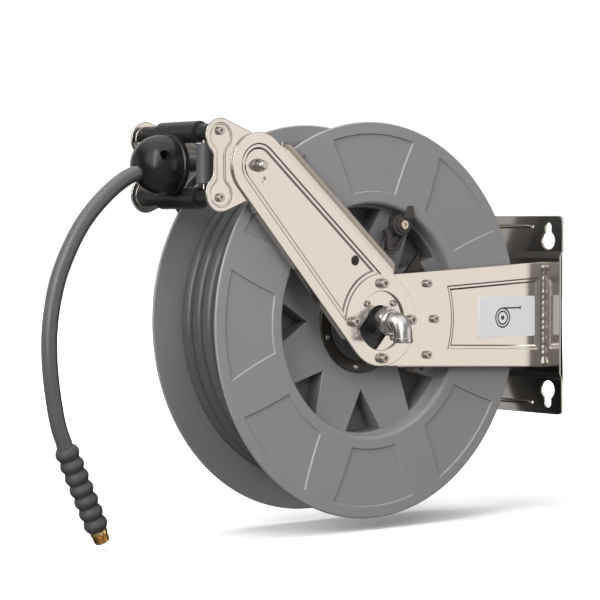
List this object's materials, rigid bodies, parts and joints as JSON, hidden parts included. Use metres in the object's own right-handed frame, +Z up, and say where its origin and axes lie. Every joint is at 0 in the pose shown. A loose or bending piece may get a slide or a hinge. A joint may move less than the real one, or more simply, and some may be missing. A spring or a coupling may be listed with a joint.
{
  "type": "fire hose reel",
  "caption": "Wall-mounted spring-rewind hose reel: flanged drum in a steel fork, guide arm with roller head, ball stop, hose with grip and nipple.",
  "frame": {"origin": "middle of the mounting plate's back face, on the wall, at the height of the drum's axis", "axes": "+X into the wall, +Y along the drum's axis towards the side with the power spring, away from the fluid inlet, +Z up"},
  "size_m": [0.7482, 0.2393, 0.5083],
  "materials": {
    "stainless": "satin, bright edges",
    "nickel_fittings": "bright plated",
    "drum_grey": "fine grained moulding",
    "black_plastic": "satin moulding",
    "dark_steel": "black oxide",
    "hose_rubber": "smooth matt cover",
    "brass": "machined",
    "spring_steel": "blued strip",
    "label_film": "plain printed film"
  },
  "bodies": {
    "frame": {"wall_plate": "stainless", "fork_plate_inlet": "stainless", "fork_plate_spring": "stainless", "guide_arm_inlet": "stainless", "guide_arm_spring": "stainless", "arm_bolt_inlet_1": "stainless", "arm_bolt_inlet_2": "stainless", "arm_bolt_inlet_3": "stainless", "arm_bolt_inlet_4": "stainless", "arm_bolt_spring_1": "stainless", "arm_bolt_spring_2": "stainless", "arm_bolt_spring_3": "stainless", "arm_bolt_spring_4": "stainless", "cam_bolt_1": "stainless", "cam_bolt_2": "stainless", "cam_bolt_3": "stainless", "guide_pivot_bolt_inlet": "stainless", "guide_pivot_bolt_spring": "stainless", "guide_pivot_nut_inlet": "stainless", "guide_pivot_nut_spring": "stainless", "drum_axle": "nickel_fittings", "axle_retainer_inlet": "black_plastic", "axle_retainer_spring": "black_plastic", "axle_nut": "stainless", "inlet_union_nut": "nickel_fittings", "ratchet_cam": "dark_steel", "label_plate": "label_film", "hose_run": "hose_rubber"},
    "elbow": {"inlet_elbow": "nickel_fittings"},
    "drum": {"drum_flange_inlet": "drum_grey", "drum_flange_spring": "drum_grey", "drum_barrel": "drum_grey", "hub_ring_inlet": "black_plastic", "hub_ring_spring": "black_plastic", "hub_bush_inlet": "black_plastic", "hub_bush_spring": "black_plastic", "spring_case": "dark_steel", "spring_case_lid": "dark_steel", "power_spring": "spring_steel", "swivel_joint": "brass", "hose_winding": "hose_rubber", "pawl_screw": "brass", "pawl_spring": "spring_steel"},
    "pawl": {"ratchet_pawl": "black_plastic"},
    "guide": {"guide_plate_inlet": "stainless", "guide_plate_spring": "stainless", "guide_tie_rod_top": "dark_steel", "guide_tie_rod_bottom": "dark_steel", "side_roller_pin_inlet": "dark_steel", "side_roller_pin_spring": "dark_steel", "ball_stop_inlet": "black_plastic", "ball_stop_spring": "black_plastic", "ball_stop_screw": "dark_steel", "hose_tail": "hose_rubber", "hose_grip": "hose_rubber", "hose_nipple": "brass"},
    "top_roller": {"guide_roller_top": "black_plastic"},
    "bottom_roller": {"guide_roller_bottom": "black_plastic"},
    "inlet_side_roller": {"side_roller_inlet": "drum_grey"},
    "spring_side_roller": {"side_roller_spring": "drum_grey"}
  },
  "joints": [
    {"name": "drum_spin", "type": "hinge", "parent": "frame", "child": "drum", "pos_m": [-0.297, 0, 0], "axis": [0, 1, 0], "continuous": true, "deforming": ["power_spring"]},
    {"name": "pawl_pivot", "type": "hinge", "parent": "drum", "child": "pawl", "pos_m": [-0.24725, -0.058, 0.1201], "axis": [0, 1, 0], "range_deg": [-10, 10], "stiffness_Nm_per_rad": 0.05, "deforming": ["pawl_spring"]},
    {"name": "elbow_swivel", "type": "hinge", "parent": "frame", "child": "elbow", "pos_m": [-0.297, -0.0948, 0], "axis": [0, 1, 0], "continuous": true},
    {"name": "guide_tilt", "type": "hinge", "parent": "frame", "child": "guide", "pos_m": [-0.4916, 0, 0.1915], "axis": [0, 1, 0], "range_deg": [-10, 25], "deforming": ["hose_run"]},
    {"name": "top_roller_spin", "type": "hinge", "parent": "guide", "child": "top_roller", "pos_m": [-0.548, 0, 0.2315], "axis": [0, 1, 0], "continuous": true},
    {"name": "bottom_roller_spin", "type": "hinge", "parent": "guide", "child": "bottom_roller", "pos_m": [-0.548, 0, 0.1525], "axis": [0, 1, 0], "continuous": true},
    {"name": "inlet_side_roller_spin", "type": "hinge", "parent": "guide", "child": "inlet_side_roller", "pos_m": [-0.548, -0.046, 0.192], "axis": [0, 0, 1], "continuous": true},
    {"name": "spring_side_roller_spin", "type": "hinge", "parent": "guide", "child": "spring_side_roller", "pos_m": [-0.548, 0.046, 0.192], "axis": [0, 0, 1], "continuous": true}
  ]
}
